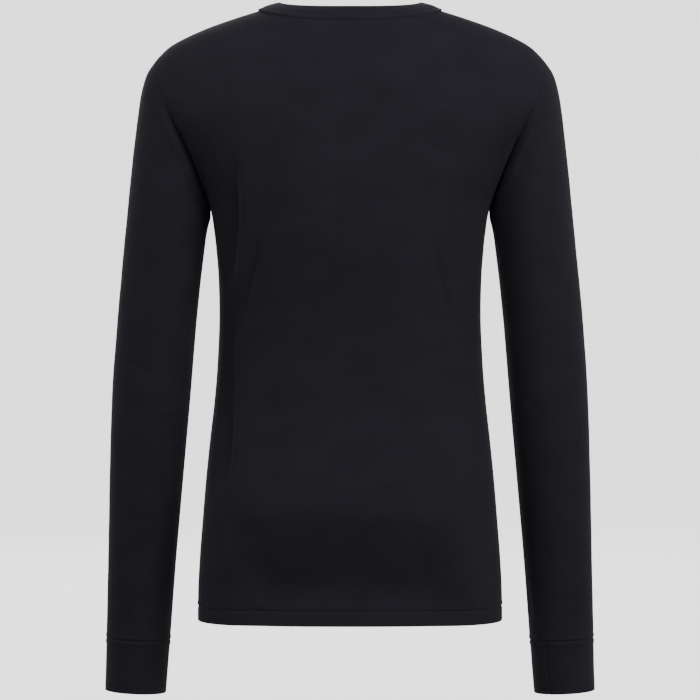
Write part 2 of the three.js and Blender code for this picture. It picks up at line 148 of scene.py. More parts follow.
# How far the band rises and leans in
NECKBAND_LEAN = {"back": np.array([15, 16]), "side": np.array([8, 23]), "front": np.array([20, 7])}
NECKBAND_BULGE = 1.2
NECKBAND_HEIGHT = 22


# The form, worked out as the solids' form is


def between(a, b, share):
    return a + (b - a) * share


def smooth(edge0, edge1, x):
    t = np.clip((x - edge0) / (edge1 - edge0), 0, 1)
    return t * t * (3 - 2 * t)


def bell(distance, width):
    return np.exp(-((distance / width) ** 2))


def unit(vectors):
    return vectors / np.maximum(np.linalg.norm(vectors, axis=-1, keepdims=True), 1e-9)


def curve_through(table, at, value):
    """A smooth curve through a column of a table, which stays within each pair of rows."""
    order = np.argsort(table[at])
    xs, ys = table[at][order], table[value][order]
    chord = np.diff(ys) / np.diff(xs)
    slope = np.empty_like(ys)
    slope[0], slope[-1] = chord[0], chord[-1]
    before, after = chord[:-1], chord[1:]
    same = before * after > 0
    slope[1:-1] = np.where(same, 2 * before * after / np.where(same, before + after, 1), 0)

    def value_at(x):
        x = np.asarray(x, float)
        i = np.clip(np.searchsorted(xs, x, side="right") - 1, 0, len(xs) - 2)
        width = xs[i + 1] - xs[i]
        t = np.clip((x - xs[i]) / width, 0, 1)
        t2, t3 = t * t, t * t * t
        return (
            ys[i] * (2 * t3 - 3 * t2 + 1)
            + slope[i] * width * (t3 - 2 * t2 + t)
            + ys[i + 1] * (3 * t2 - 2 * t3)
            + slope[i + 1] * width * (t3 - t2)
        )

    return value_at


ridge_z = curve_through(RIDGE, "x", "z")
body_side = curve_through(BODY_SECTIONS, "z", "side")
body_square = curve_through(BODY_SECTIONS, "z", "square")
body_depth = {side: curve_through(BODY_SECTIONS, "z", side) for side in ("back", "front")}
ring_curve = {key: curve_through(SLEEVE_RINGS, "row", key) for key in SLEEVE_RINGS if key != "row"}
UNDERARM_Z = SLEEVE_RINGS["innerZ"][0]
UNDERARM_X = SLEEVE_RINGS["innerX"][0]
TIP_X = SLEEVE_RINGS["outerX"][0]
TIP_Z = SLEEVE_RINGS["outerZ"][0]
ARMHOLE_DEPTH = SLEEVE_RINGS["halfY"][0]
NORMAL_STEP = 0.5
HALVINGS = 40


def depth_at(panel, x, z):
    """The distance of a panel's cloth from the plane of the side seams."""
    drop = np.clip((ridge_z(np.abs(x)) - z) / SHOULDER_ARCH, 0, 1)
    square = body_square(z)
    outward = np.minimum(np.abs(x) / body_side(z), 1)
    arch = np.sqrt(1 - (1 - drop) ** 2)
    return body_depth[panel](z) * arch * (1 - outward**square) ** (1 / square)


def form_normals(panel, grid):
    """The panel's outward normals from its form, which hold where the grid's cells are slanted."""
    x, z = grid[..., 0], grid[..., 2]
    step = NORMAL_STEP
    slope_x = (depth_at(panel, x + step, z) - depth_at(panel, x - step, z)) / (2 * step)
    slope_z = (depth_at(panel, x, z + step) - depth_at(panel, x, z - step)) / (2 * step)
    outward = np.full_like(x, 1.0 if panel == "back" else -1.0)
    return unit(np.stack([-slope_x, outward, -slope_z], -1))


def pinch_at(height):
    return 1 - PINCH_SHARE * np.maximum(1 - height / PINCH_UP_TO, 0) ** PINCH_CURVE


def armhole_x(panel, z):
    """How far out the armhole lies on a panel at each level."""
    z = np.asarray(z, float)
    height = np.clip((z - UNDERARM_Z) / (TIP_Z - UNDERARM_Z), 0, 1)
    depth = ARMHOLE_DEPTH * 2 * np.sqrt(height * (1 - height)) * pinch_at(height)
    near = np.full_like(z, NECK_HALF_WIDTH)
    far = body_side(z) + np.zeros_like(z)
    for _ in range(HALVINGS):
        middle = (near + far) / 2
        inside = depth_at(panel, middle, z) > depth
        near = np.where(inside, middle, near)
        far = np.where(inside, far, middle)
    return np.where(height <= 0, UNDERARM_X, np.where(height >= 1, TIP_X, near))


def top_edge_z(panel, share):
    x = share * TIP_X
    drop, curve = NECK_CURVE[panel]
    inside = np.clip(1 - (x / NECK_HALF_WIDTH) ** 2, 0, 1)
    return np.where(x >= NECK_HALF_WIDTH, ridge_z(x), -drop * inside**curve)


def panel_points(panel, z, rise, share):
    """Points of a panel's left half. Rows with rise 0 are level at z; rise 1 is the top edge."""
    side = armhole_x(panel, z) if z > UNDERARM_Z else body_side(z)
    # The neck's columns keep their places, so that no cell folds over under the neck's corner
    beyond = np.maximum(share * TIP_X - NECK_HALF_WIDTH, 0) / (TIP_X - NECK_HALF_WIDTH)
    x = np.minimum(share * TIP_X, NECK_HALF_WIDTH) + beyond * (side - NECK_HALF_WIDTH)
    level = between(UNDERARM_Z, top_edge_z(panel, share), rise) if rise > 0 else z + 0 * share
    outward = 1 if panel == "back" else -1
    return np.stack([x, outward * depth_at(panel, x, level), level], -1)


def sleeve_points(row, turn):
    """Points of the left sleeve; turn goes from the shoulder by the back to the underarm."""
    row, turn = np.broadcast_arrays(np.asarray(row, float), np.asarray(turn, float))
    ring = {key: at(row) for key, at in ring_curve.items()}
    across = np.sin(turn)
    share = (1 + np.cos(turn)) / 2
    level = between(UNDERARM_Z, TIP_Z, share)
    seam_x = np.where(across > 0, armhole_x("back", level), armhole_x("front", level))
    sway = ring["seam"] * (seam_x - between(UNDERARM_X, TIP_X, share))
    x = between(ring["innerX"], ring["outerX"], share) + sway
    y = ring["midY"] + ring["halfY"] * across * between(1, pinch_at(share), ring["seam"])
    return np.stack([x, y, between(ring["innerZ"], ring["outerZ"], share)], -1)


# Cloth as thin shells

# The walls' thickness: one layer, and the doubled pieces
JERSEY = 0.9
DOUBLED = 1.9
# Distances of the closely spaced lines beside a seam, and the length that they are meant for
EDGE_STEPS = np.array([0, 0.7, 1.4, 2.2, 3.1, 4.2, 5.6, 7.4, 9.6, 12.2])
EDGE_LENGTH = 80
# The rim is half round: how far inside the edge it starts, and where its lines lie
RIM_INSET = 0.35
RIM_TURNS = (0.25, 0.5, 0.75)


def lengths(points, axis):
    """The distance along the grid from its first row or column."""
    step = np.linalg.norm(np.diff(points, axis=axis), axis=-1)
    first = np.zeros_like(np.take(step, [0], axis=axis))
    return np.concatenate([first, np.cumsum(step, axis=axis)], axis=axis)


def values_at(targets, along, values):
    """Each column of the values at the given distances along a line."""
    return np.stack([np.interp(targets, along, column) for column in values.T], -1)


def graded(total, count, start=True, end=True):
    """Distances from 0 to total: fine steps at a seamed edge, and even ones between."""
    edge = EDGE_STEPS * min(1, total / EDGE_LENGTH)
    first = edge if start else np.array([0.0])
    last = total - edge[::-1] if end else np.array([total])
    inner = count - len(first) - len(last)
    middle = np.linspace(first[-1], last[0], inner + 2)[1:-1]
    return np.concatenate([first, middle, last])


def grid_normals(grid, facing):
    return unit(np.cross(np.gradient(grid, axis=1), np.gradient(grid, axis=0)) * facing)


# Each shell's outer face and normals, for the sewing
SURFACES = {}


def shell(name, grid, wall, cut, facing, inset=RIM_INSET, normal=None):
    """A thin closed shell whose outer face is the grid, with round edges.

    cut is each point's place in the flat cut, in millimetres. The materials use it, together
    with the strength of the crinkles there.
    """
    rows, cols = grid.shape[:2]
    if normal is None:
        normal = grid_normals(grid, facing)
    SURFACES[name] = (grid, normal)
    crinkle = crinkle_weight(name, grid[..., 0], grid[..., 2])
    cut = np.concatenate([cut, crinkle[..., None]], -1).reshape(-1, 3)
    wall = np.broadcast_to(wall, (rows, cols)).reshape(-1)
    ids = np.arange(rows * cols).reshape(rows, cols)
    rim = np.concatenate([ids[0], ids[1:, -1], ids[-1, -2::-1], ids[-2:0:-1, 0]])
    outer, normal = grid.reshape(-1, 3).copy(), normal.reshape(-1, 3)
    along = np.roll(outer[rim], -1, 0) - np.roll(outer[rim], 1, 0)
    out = unit(np.cross(along, normal[rim]) * facing)
    outer[rim] -= out * inset
    inner = outer - normal * wall[:, None]
    points, cuts, faces = [outer, inner], [cut, cut], []
    count = len(outer)

    def quads(a, b, c, d):
        quad = np.stack([a, b, c, d], -1).reshape(-1, 4)
        faces.append(quad if facing > 0 else quad[:, ::-1])

    left, right = ids[:, :-1], ids[:, 1:]
    quads(left[:-1], right[:-1], right[1:], left[1:])
    quads(left[1:] + count, right[1:] + count, right[:-1] + count, left[:-1] + count)
    half = wall[rim][:, None] / 2
    centre = (outer[rim] + inner[rim]) / 2
    strips = [rim]
    for turn in RIM_TURNS:
        angle = math.pi * turn
        points.append(centre + half * (normal[rim] * math.cos(angle) + out * math.sin(angle)))
        strips.append(sum(map(len, cuts)) + np.arange(len(rim)))
        cuts.append(cut[rim])
    strips.append(rim + count)
    for a, b in zip(strips[:-1], strips[1:]):
        quads(np.roll(a, -1), a, b, np.roll(b, -1))
    points, faces, cuts = (np.concatenate(parts) for parts in (points, faces, cuts))
    return make_mesh(name + "_cloth", points, faces.tolist(), cuts)


def make_mesh(name, points, faces, cut=None):
    mesh = bpy.data.meshes.new(name)
    mesh.from_pydata((points * MM).tolist(), [], faces)
    mesh.polygons.foreach_set("use_smooth", np.ones(len(mesh.polygons), bool))
    if cut is not None:
        place = mesh.attributes.new("cut", "FLOAT_VECTOR", "POINT")
        place.data.foreach_set("vector", cut.astype(np.float32).ravel())
    mesh.update()
    piece = bpy.data.objects.new(name, mesh)
    bpy.context.scene.collection.objects.link(piece)
    return piece


# Soft relief: listed creases, seams and the cloth's slight unevenness

# Creases as lines on one side of a piece: their ends, how far the middle bows out, the half
# width, the depth (a ridge is negative), and how one-sided the trough is
CREASE_COLUMNS = "x0 z0 x1 z1 bow width depth skew"
CREASES = {
    ("back", "back"): """
    130 -158 138 -336 4 8 5 0.2
    127 -168 136 -318 4 4 2.8 0.2
    128 -318 131 -484 -1 4 2.4 0.2
    132 -430 140 -548 2 5 3 0.2
    95 -236 130 -376 2 5 4.4 -0.2
    -92 -252 -118 -372 -3 5 2.6 0.2
    132 -316 137 -480 -1 8 4 0.3
    137 -396 143 -552 2 9 4.6 0.3
    126 -540 133 -600 2 9 1.2 0.2
    -128 -360 -133 -470 3 12 -0.9 0
    -60 -120 -128 -196 -6 13 0.9 0.2
    72 -130 116 -206 5 12 0.8 -0.2
    60 -40 96 -120 8 12 0.7 0.2
    -66 -44 -104 -116 -8 13 0.6 0.2
    30 -300 84 -332 -4 10 0.4 0.2
    -20 -352 -92 -378 5 11 0.4 -0.2
    88 -452 24 -476 4 11 0.4 0.2
    -84 -500 -20 -522 -4 10 0.4 0.2
    160 -658 145 -664 1 1.7 0.8 0
    161 -671 139 -677 1 1.8 0.8 0
    158 -664 132 -667 -1 2 0.6 0
    -156 -655 -142 -661 1 1.8 0.6 0
    -160 -672 -146 -676 1 1.7 0.5 0
    118 -668 96 -672 1 2.2 0.5 0
    """,
    ("front", "front"): """
    121 -188 78 -264 4 13 2.8 0.3
    128 -204 96 -268 3 6 1.6 -0.3
    -118 -194 -84 -254 -4 12 2.5 0.3
    -104 -296 -60 -354 -3 13 2.2 0.2
    -132 -300 -128 -420 2 9 1.6 0.2
    131 -330 127 -452 -3 9 1.8 -0.2
    70 -140 30 -190 5 12 0.8 0.2
    -64 -130 -22 -176 -5 11 0.7 0.2
    44 -470 -30 -498 5 11 0.8 0.2
    -90 -540 -12 -566 -5 12 0.9 -0.2
    96 -590 40 -628 4 9 0.9 0.2
    150 -650 120 -660 2 4 0.7 0
    -158 -664 -136 -670 1 2 0.7 0
    -120 -180 -128 -300 -3 6 1.4 0.3
    """,
    ("sleeve_left", "back"): """
    197 -140 184 -158 1 2.3 1.1 0
    203 -135 186 -150 1 2.2 0.8 0
    194 -220 171 -217 1 2.2 0.5 0
    192 -228 173 -225 -1 2.2 0.5 0
    222 -178 196 -196 3 7 0.7 0.2
    263 -466 252 -534 3 4 1.7 0.3
    250 -392 216 -424 4 8 1.1 0.2
    190 -430 222 -462 -4 8 1.1 0.2
    262 -330 236 -352 3 9 0.6 0
    258 -560 232 -592 3 8 0.8 0.2
    206 -628 232 -654 -3 7 0.8 0.2
    262 -668 246 -700 2 5 0.8 0.2
    """,
    ("sleeve_left", "front"): """
    198 -150 224 -120 3 6 1.4 0.2
    192 -176 226 -160 3 6 1.2 0.2
    184 -420 222 -442 -4 7 1.8 0.3
    188 -446 226 -452 -4 7 1.9 0.3
    192 -474 228 -462 -4 7 1.6 0.3
    256 -380 226 -416 4 8 1 0.2
    256 -540 224 -580 4 8 1 0.2
    208 -640 234 -668 -3 6 0.9 0.2
    """,
    ("sleeve_right", "back"): """
    -185 -148 -213 -130 2 2.5 1.5 0
    -182 -160 -208 -153 2 2.7 1.6 0
    -186 -139 -199 -122 1 2.1 0.9 0
    -177 -171 -202 -170 2 3.2 1.2 0
    -196 -196 -228 -188 2 6 0.6 0.2
    -200 -636 -207 -692 0 2 1.3 0
    -262 -452 -248 -520 -3 4.5 1.3 0.3
    -252 -384 -218 -414 -4 8 1 0.2
    -188 -436 -220 -458 4 8 1.1 0.2
    -258 -300 -232 -326 -3 9 0.6 0
    -260 -572 -236 -598 -3 8 0.8 0.2
    -206 -600 -230 -630 3 8 0.7 0.2
    -264 -676 -244 -704 -2 5 0.8 0.2
    """,
    ("sleeve_right", "front"): """
    -197 -146 -224 -122 -3 6 1.3 0.2
    -190 -180 -224 -166 -3 6 1.2 0.2
    -184 -416 -224 -436 4 7 1.8 0.3
    -188 -440 -228 -450 4 7 1.9 0.3
    -192 -470 -226 -464 4 7 1.5 0.3
    -258 -372 -228 -406 -4 8 1.1 0.2
    -258 -548 -228 -586 -4 8 0.9 0.2
    -210 -646 -236 -670 3 6 0.9 0.2
    """,
}
CREASES = {key: columns(CREASE_COLUMNS, rows) for key, rows in CREASES.items()}
# The slight lips beside a trough: height as a share of its depth, place and width in half widths
CREASE_LIPS = (0.05, 2.2, 1.2)
CREASE_FADE = 1.2


def crease_depth(table, x, z):
    depth = np.zeros_like(x)
    lip, lip_place, lip_width = CREASE_LIPS
    for x0, z0, x1, z1, bow, width, deep, skew in zip(*table.values()):
        dx, dz = x1 - x0, z1 - z0
        length = math.hypot(dx, dz)
        along = ((x - x0) * dx + (z - z0) * dz) / length**2
        inside = np.clip(along, 0, 1)
        across = ((x - x0) * dz - (z - z0) * dx) / length - bow * 4 * inside * (1 - inside)
        u = across / width
        u = u * (1 + skew * np.tanh(u))
        fade = np.where((along > 0) & (along < 1), np.sin(np.pi * inside) ** CREASE_FADE, 0)
        profile = bell(u, 1) - lip * bell(np.abs(u) - lip_place, lip_width)
        depth += deep * fade * profile
    return depth


NOISE_CELLS = 64
# Keeps the cells' numbers above nought
NOISE_START = 1000


def lattice_noise(u, v, size_u, size_v, seed):
    """Smooth noise from -1 to 1 with cells of the given size."""
    rng = np.random.default_rng(seed)
    table = rng.uniform(-1, 1, (NOISE_CELLS, NOISE_CELLS))
    pu, pv = u / size_u + NOISE_START, v / size_v + NOISE_START
    iu, iv = np.floor(pu).astype(int), np.floor(pv).astype(int)
    fu, fv = pu - iu, pv - iv
    fu, fv = (f * f * f * (f * (f * 6 - 15) + 10) for f in (fu, fv))
    iu, iv, next_u, next_v = (i % NOISE_CELLS for i in (iu, iv, iu + 1, iv + 1))
    a, b = table[iu, iv], table[next_u, iv]
    c, d = table[iu, next_v], table[next_u, next_v]
    return between(between(a, b, fu), between(c, d, fu), fv)


# Layers of unevenness: height, slant, and the size of the cells across and along
CLOTH_LAYERS = ((0.32, 0, 60, 90), (0.13, 0, 30, 24), (0.08, 0.2, 16, 7))


def cloth_noise(cut, seed):
    """The slight unevenness of soft jersey, in millimetres."""
    u, v = cut[..., 0], cut[..., 1]
    return sum(
        height * lattice_noise(u + v * slant, v, size_u, size_v, seed + layer)
        for layer, (height, slant, size_u, size_v) in enumerate(CLOTH_LAYERS)
    )


# How far the back falls in below its fullest part, before it hangs straighter again to the hem
LOWER_BACK = columns(
    "z inward",
    """
    -500 0
    -530 -1.2
    -552 -2.2
    -562 -1.3
    -575 1.6
    -600 7.6
    -630 14
    -645 15.8
    -656 15.2
    -668 12.4
    -686 8
    """,
)
lower_back_at = curve_through(LOWER_BACK, "z", "inward")
# The hollow is arched about one line, and fades out to the sides of another and upwards
LOWER_BACK_ARCH, LOWER_BACK_ARCH_X, LOWER_BACK_ARCH_ABOVE = 0.0005, 8, (-640, -600)
LOWER_BACK_X, LOWER_BACK_SIDES, LOWER_BACK_TOP = 4, (86, 142), (-490, -530)


def lower_back(x, z):
    bow = LOWER_BACK_ARCH * (x - LOWER_BACK_ARCH_X) ** 2
    sides = 1 - smooth(*LOWER_BACK_SIDES, np.abs(x - LOWER_BACK_X))
    arch = z + bow * smooth(*LOWER_BACK_ARCH_ABOVE, z)
    return lower_back_at(arch) * sides * smooth(*LOWER_BACK_TOP, z)


# Patches of fine crinkles along the courses: middle, half sizes and strength
CRINKLES = {
    "back": [
        (-84, -150, 22, 40, 1.0),
        (72, -72, 14, 22, 0.5),
        (-24, -132, 22, 30, 0.4),
        (-100, -210, 20, 26, 0.25),
        (-40, -640, 90, 18, 0.35),
        (20, -300, 40, 20, 0.25),
    ],
    "front": [(60, -170, 34, 40, 0.7), (-50, -240, 40, 30, 0.4), (20, -640, 80, 18, 0.35)],
    "sleeve_left": [(200, -215, 22, 16, 0.5), (230, -440, 26, 40, 0.2)],
    "sleeve_right": [(-196, -190, 20, 24, 0.5), (-230, -430, 26, 40, 0.2)],
}
CRINKLE_EVERYWHERE = 0.12


def crinkle_weight(name, x, z):
    weight = np.full_like(x, CRINKLE_EVERYWHERE)
    for middle_x, middle_z, half_x, half_z, strength in CRINKLES.get(name, []):
        far = ((x - middle_x) / half_x) ** 2 + ((z - middle_z) / half_z) ** 2
        weight += strength * np.exp(-far)
    return weight


# A seam's groove: depth and half width. The ridge beside it: height, place and half width
SEAM_GROOVE = (0.55, 1.5)
SEAM_RIDGE = (0.3, 4.4, 2.2)
# How far from the armhole the cloth still moves in the armhole's plane
SEAM_REACH = 9
SEAM_FAINT, SEAM_FAINT_ABOVE = 0.75, (-150, -100)
# The groove at the underarm, and the fuller cloth beside it: depth, place and half width
UNDERARM_GROOVE = (3.4, 4.5)
UNDERARM_FULL = {"panel": (1.4, 10, 5), "sleeve": (3.2, 12.5, 6.5)}
# The levels between which they come in and go out, and where the fullness starts
UNDERARM_UPPER, UNDERARM_LOWER = (-105, -165), (-275, -225)
UNDERARM_FULL_ABOVE = (-232, -190)


def seam_relief(distance):
    """The cloth draws in at a seam and rides up over the allowance beside it."""
    groove, width = SEAM_GROOVE
    ridge, place, spread = SEAM_RIDGE
    return -groove * bell(distance, width) + ridge * bell(distance - place, spread)


def seam_strength(z):
    """The armhole's seam is faint above, where the cloth lies flat over it."""
    return 1 - SEAM_FAINT * smooth(*SEAM_FAINT_ABOVE, z)


def underarm_groove(distance, z, kind):
    """The armhole seam sinks into a deep groove towards the underarm, between fuller cloth."""
    deep, width = UNDERARM_GROOVE
    full, place, spread = UNDERARM_FULL[kind]
    share = smooth(*UNDERARM_UPPER, z) * smooth(*UNDERARM_LOWER, z)
    full = full * smooth(*UNDERARM_FULL_ABOVE, z)
    return share * (-deep * bell(distance, width) + full * bell(distance - place, spread))


def mirrored(side):
    """What turns points of the left half (side 1) into the right half's (side -1)."""
    return np.array([side, 1, 1])


def armhole_outward(edge):
    """The direction out of the armhole's loop, in the plane that it lies in, along its seam."""
    plane = np.cross(unit(np.array([TIP_X - UNDERARM_X, 0, TIP_Z - UNDERARM_Z])), [0, 1, 0])
    out = np.cross(np.gradient(edge, axis=0), plane)
    out = unit(out - (out @ plane)[:, None] * plane)
    centre = np.array([(TIP_X + UNDERARM_X) / 2, 0, (TIP_Z + UNDERARM_Z) / 2])
    turned = np.sign(((edge - centre) * out).sum(-1, keepdims=True))
    return out * np.where(turned == 0, 1, turned)


# The back and the front

NECK_COLUMNS, SHOULDER_COLUMNS = 30, 58
HEM_ROWS, BODY_ROWS, ARMHOLE_ROWS = 16, 134, 78
FINE_STEPS = 200


def fine_shares():
    eased = np.sin(np.pi / 2 * np.arange(FINE_STEPS + 1) / FINE_STEPS)
    neck = NECK_HALF_WIDTH / TIP_X
    return np.concatenate([neck * eased, between(neck, 1, eased[1:])])


def panel_grid(panel):
    shares = fine_shares()
    levels = [(z, 0) for z in np.linspace(HEM_Z, HEM_Z + HEM_BAND, HEM_ROWS)]
    for share in np.linspace(0, 1, BODY_ROWS + 1)[1:]:
        closer = (share + np.sin(np.pi / 2 * share)) / 2
        levels.append((between(HEM_Z + HEM_BAND, UNDERARM_Z, closer), 0))
    for i in range(1, ARMHOLE_ROWS + 1):
        rise = (1 - math.cos(math.pi * i / ARMHOLE_ROWS)) / 2
        levels.append((between(UNDERARM_Z, TIP_Z, rise), rise))
    rows = []
    for z, rise in levels:
        fine = panel_points(panel, z, rise, shares)
        run = lengths(fine, 0)
        corner = run[FINE_STEPS]
        neck = np.linspace(0, corner, NECK_COLUMNS + 1)[:-1]
        side = corner + graded(run[-1] - corner, SHOULDER_COLUMNS, start=False)
        half = values_at(np.concatenate([neck, side]), run, fine)
        rows.append(np.concatenate([half[:0:-1] * mirrored(-1), half]))
    return np.array(rows)


# How far in the cloth goes over the shoulder's arch, and the highest level of the flat cut
ARCH_REACH, FLAT_TOP = 100, 40
ARCH_STEPS, FLAT_LEVELS, FLAT_TURNS = 200, 150, 160


def flat_place(panel, grid):
    """How far across and up a panel's flat cut each point lies; its courses are level there."""
    x, z = grid[..., 0], grid[..., 2]
    turn = np.linspace(0, np.pi / 2, ARCH_STEPS)
    arch = np.stack([SHOULDER_ARCH * np.sin(turn), ARCH_REACH * np.cos(turn)], -1)
    rise = 1 - np.clip((ridge_z(np.abs(x)) - z) / SHOULDER_ARCH, 0, 1)
    extra = lengths(arch, 0) - arch[:, 0]
    up = z - HEM_Z + np.interp(rise, np.sin(turn), extra)
    levels = np.linspace(HEM_Z, FLAT_TOP, FLAT_LEVELS)
    turns = np.linspace(0, np.pi / 2, FLAT_TURNS)
    level = levels[:, None] + 0 * turns
    out = np.sin(turns) * body_side(level)
    run = lengths(np.stack([out, depth_at(panel, out, level)], -1), 1)
    at_level = np.clip((z - levels[0]) / (levels[1] - levels[0]), 0, len(levels) - 1.001)
    at_turn = np.arcsin(np.clip(np.abs(x) / body_side(z), 0, 1)) / turns[1]
    i, j = at_level.astype(int), np.minimum(at_turn.astype(int), len(turns) - 2)
    low = between(run[i, j], run[i, j + 1], at_turn - j)
    high = between(run[i + 1, j], run[i + 1, j + 1], at_turn - j)
    return np.stack([np.sign(x) * between(low, high, at_level - i), up], -1)


PANEL_SEED = {"back": 11, "front": 23}
# The seam along the shoulders and the neck, next to the side seams
TOP_SEAM = 0.35
# How far from the seams the creases reach their full depth, and the unevenness its full height
PANEL_SEWN, PANEL_CALM, HEM_CALM = 11, 25, 30
# The hem's stitches draw in the cloth: depth and half width; the roll above: height, place, width
HEM_STITCH = 15.5
HEM_DENT, HEM_ROLL = (0.85, 1.4), (0.45, 3.6, 1.7)
PUCKER, PUCKER_CELLS, PUCKER_SEED, PUCKER_REACH = 0.32, (5, 30), 71, 9
# The armhole's plane comes in over this height below the underarm
ARMHOLE_START = 30
BAND_EDGE = 0.5


def hem_relief(above, cut):
    cells = lattice_noise(cut[..., 0], cut[..., 1], *PUCKER_CELLS, PUCKER_SEED)
    dent, dent_width = HEM_DENT
    roll, place, width = HEM_ROLL
    pucker = PUCKER * (cells * bell(above, PUCKER_REACH)) - dent * bell(above, dent_width)
    return pucker, roll * bell(above - place, width)


def panel_piece(panel):
    grid = panel_grid(panel)
    x, z = grid[..., 0], grid[..., 2]
    across, down = lengths(grid, 1), lengths(grid, 0)
    width, height = across[:, -1:], down[-1:, :]
    cut = flat_place(panel, grid)
    at_side, at_top = np.minimum(across, width - across), height - down
    at_seam = np.minimum(at_side, at_top)
    relief = seam_relief(at_side) * seam_strength(z) + TOP_SEAM * seam_relief(at_top)
    relief += underarm_groove(at_side, z, "panel")
    relief -= lower_back(x, z) if panel == "back" else 0
    relief -= smooth(0, PANEL_SEWN, at_seam) * crease_depth(CREASES[panel, panel], x, z)
    calm = smooth(0, PANEL_CALM, at_seam) * smooth(0, HEM_CALM, down)
    relief += calm * cloth_noise(cut, PANEL_SEED[panel])
    for part in hem_relief(down - HEM_STITCH, cut):
        relief += part
    # At the armhole the panel moves the way that the sleeve does, so that the seam stays shut
    normal = form = form_normals(panel, grid)
    underarm = HEM_ROWS + BODY_ROWS - 1
    for edge, side, distance in ((-1, 1, width - across), (0, -1, across)):
        out = np.zeros_like(grid[:, 0])
        out[underarm:] = armhole_outward(grid[underarm:, edge] * mirrored(side)) * mirrored(side)
        out[:underarm] = out[underarm]
        share = bell(distance, SEAM_REACH)
        share *= smooth(UNDERARM_Z - ARMHOLE_START, UNDERARM_Z, grid[:, edge, 2])[:, None]
        normal = between(normal, out[:, None], share[..., None])
    wall = np.where(down < HEM_BAND - BAND_EDGE, DOUBLED, JERSEY)
    facing = -1 if panel == "back" else 1
    return shell(panel, grid + normal * relief[..., None], wall, cut, facing, normal=form)


# The sleeves and the cuffs

SLEEVE_COLUMNS, SLEEVE_ROWS, CUFF_ROWS = 116, 200, 40
FINE_ROWS = 600
# The turns round a tube are graded as if it were this far round
TURN_LENGTH = 300
# The seam along a tube and its unevenness, next to the panels', and where both fade in
TUBE_SEAM, TUBE_NOISE, TUBE_CALM, TUBE_SEWN = 0.8, 0.8, 18, 9
TUBE_SEED = {"sleeve_left": 31, "sleeve_right": 47, "cuff_left": 6, "cuff_right": 4}
# Where the creases of the back and the front of a sleeve come in, as a share of its depth
SLEEVE_FACE = (0.05, 0.5)
# Beside the cuff's seam: a ridge's height, place and half width, and a groove's depth and width
CUFF_RIDGE, CUFF_GROOVE = (0.75, 3.6, 2.3), (0.5, 1.3)
CUFF_SEAM = {1: math.pi, -1: math.radians(124)}
# The cuff's top laps this share of a row over the sleeve's end
CUFF_LAP = 0.012


def sleeve_rows(first, last, count, start, end):
    """Places along the sleeve that lie at graded distances."""
    fine = np.linspace(first, last, FINE_ROWS)
    line = sleeve_points(fine, np.full_like(fine, math.pi / 2))
    along = lengths(line, 0)
    return np.interp(graded(along[-1], count, start, end), along, fine)


def tube_piece(name, side, rows, seam_turn, wall, relief_of):
    """A tube round the arm, joined along seam_turn; its columns are closer together there."""
    turns = seam_turn + 2 * math.pi * (graded(TURN_LENGTH, SLEEVE_COLUMNS) / TURN_LENGTH)
    grid = sleeve_points(rows[:, None], turns[None, :])
    across, down = lengths(grid, 1), lengths(grid, 0)
    cut = np.stack([across - across[:, -1:] / 2, down - down[-1:]], -1)
    at_seam = np.minimum(across, across[:, -1:] - across)
    left = down[-1:, :] - down
    relief = seam_relief(at_seam) * TUBE_SEAM + relief_of(grid, turns, down, left, at_seam)
    calm = smooth(0, TUBE_CALM, np.minimum(np.minimum(down, left), at_seam))
    relief += calm * cloth_noise(cut, TUBE_SEED[name]) * TUBE_NOISE
    normal = grid_normals(grid, -1)
    if rows[0] == 0:
        share = bell(down, SEAM_REACH)
        normal = between(normal, armhole_outward(grid[0])[None], share[..., None])
    grid = (grid + normal * relief[..., None]) * mirrored(side)
    return shell(name, grid, wall, cut, -side)


def cuff_ridge(distance):
    """The cloth rides up over the allowance of the cuff's seam."""
    ridge, place, spread = CUFF_RIDGE
    groove, width = CUFF_GROOVE
    return ridge * bell(distance - place, spread) - groove * bell(distance, width)


def sleeve_piece(name, side):
    def relief_of(grid, turns, down, left, at_seam):
        x, z = grid[..., 0] * side, grid[..., 2]
        relief = seam_relief(down) * seam_strength(z) + cuff_ridge(left)
        relief += underarm_groove(down, z, "sleeve")
        back, front = (crease_depth(CREASES[name, face], x, z) for face in ("back", "front"))
        back_share, front_share = (smooth(*SLEEVE_FACE, way * np.sin(turns)) for way in (1, -1))
        creases = back_share * back + front_share * front
        sewn = smooth(0, TUBE_SEWN, np.minimum(np.minimum(down, left), at_seam))
        return relief - sewn * creases

    rows = sleeve_rows(0, CUFF_ROW, SLEEVE_ROWS, True, True)
    return tube_piece(name, side, rows, math.pi, JERSEY, relief_of)


def cuff_piece(name, side):
    def relief_of(grid, turns, down, left, at_seam):
        return cuff_ridge(down)

    rows = sleeve_rows(CUFF_ROW - CUFF_LAP, CUFF_ROW + 1, CUFF_ROWS, True, False)
    return tube_piece(name, side, rows, CUFF_SEAM[side], DOUBLED, relief_of)


# The neckband

NECKBAND_ROWS, NECKBAND_COLUMNS = 22, 150
NECK_STEPS, NECK_EASE = 400, 0.8
NECKBAND_INSET = 0.8
# The band's allowance goes down behind the panels: how far below the seam, and how deep
NECK_ALLOWANCE = ((5.5, 2.4), (4, 2.2), (2.5, 2), (1, 1.5))
NECK_ALLOWANCE_RISE = 0.97
# How far each end of the band laps past the join at the left shoulder
NECK_LAP = 0.6
# The band's seam and its join, next to the side seams
NECK_SEAM, NECK_JOIN = 0.5, 0.4


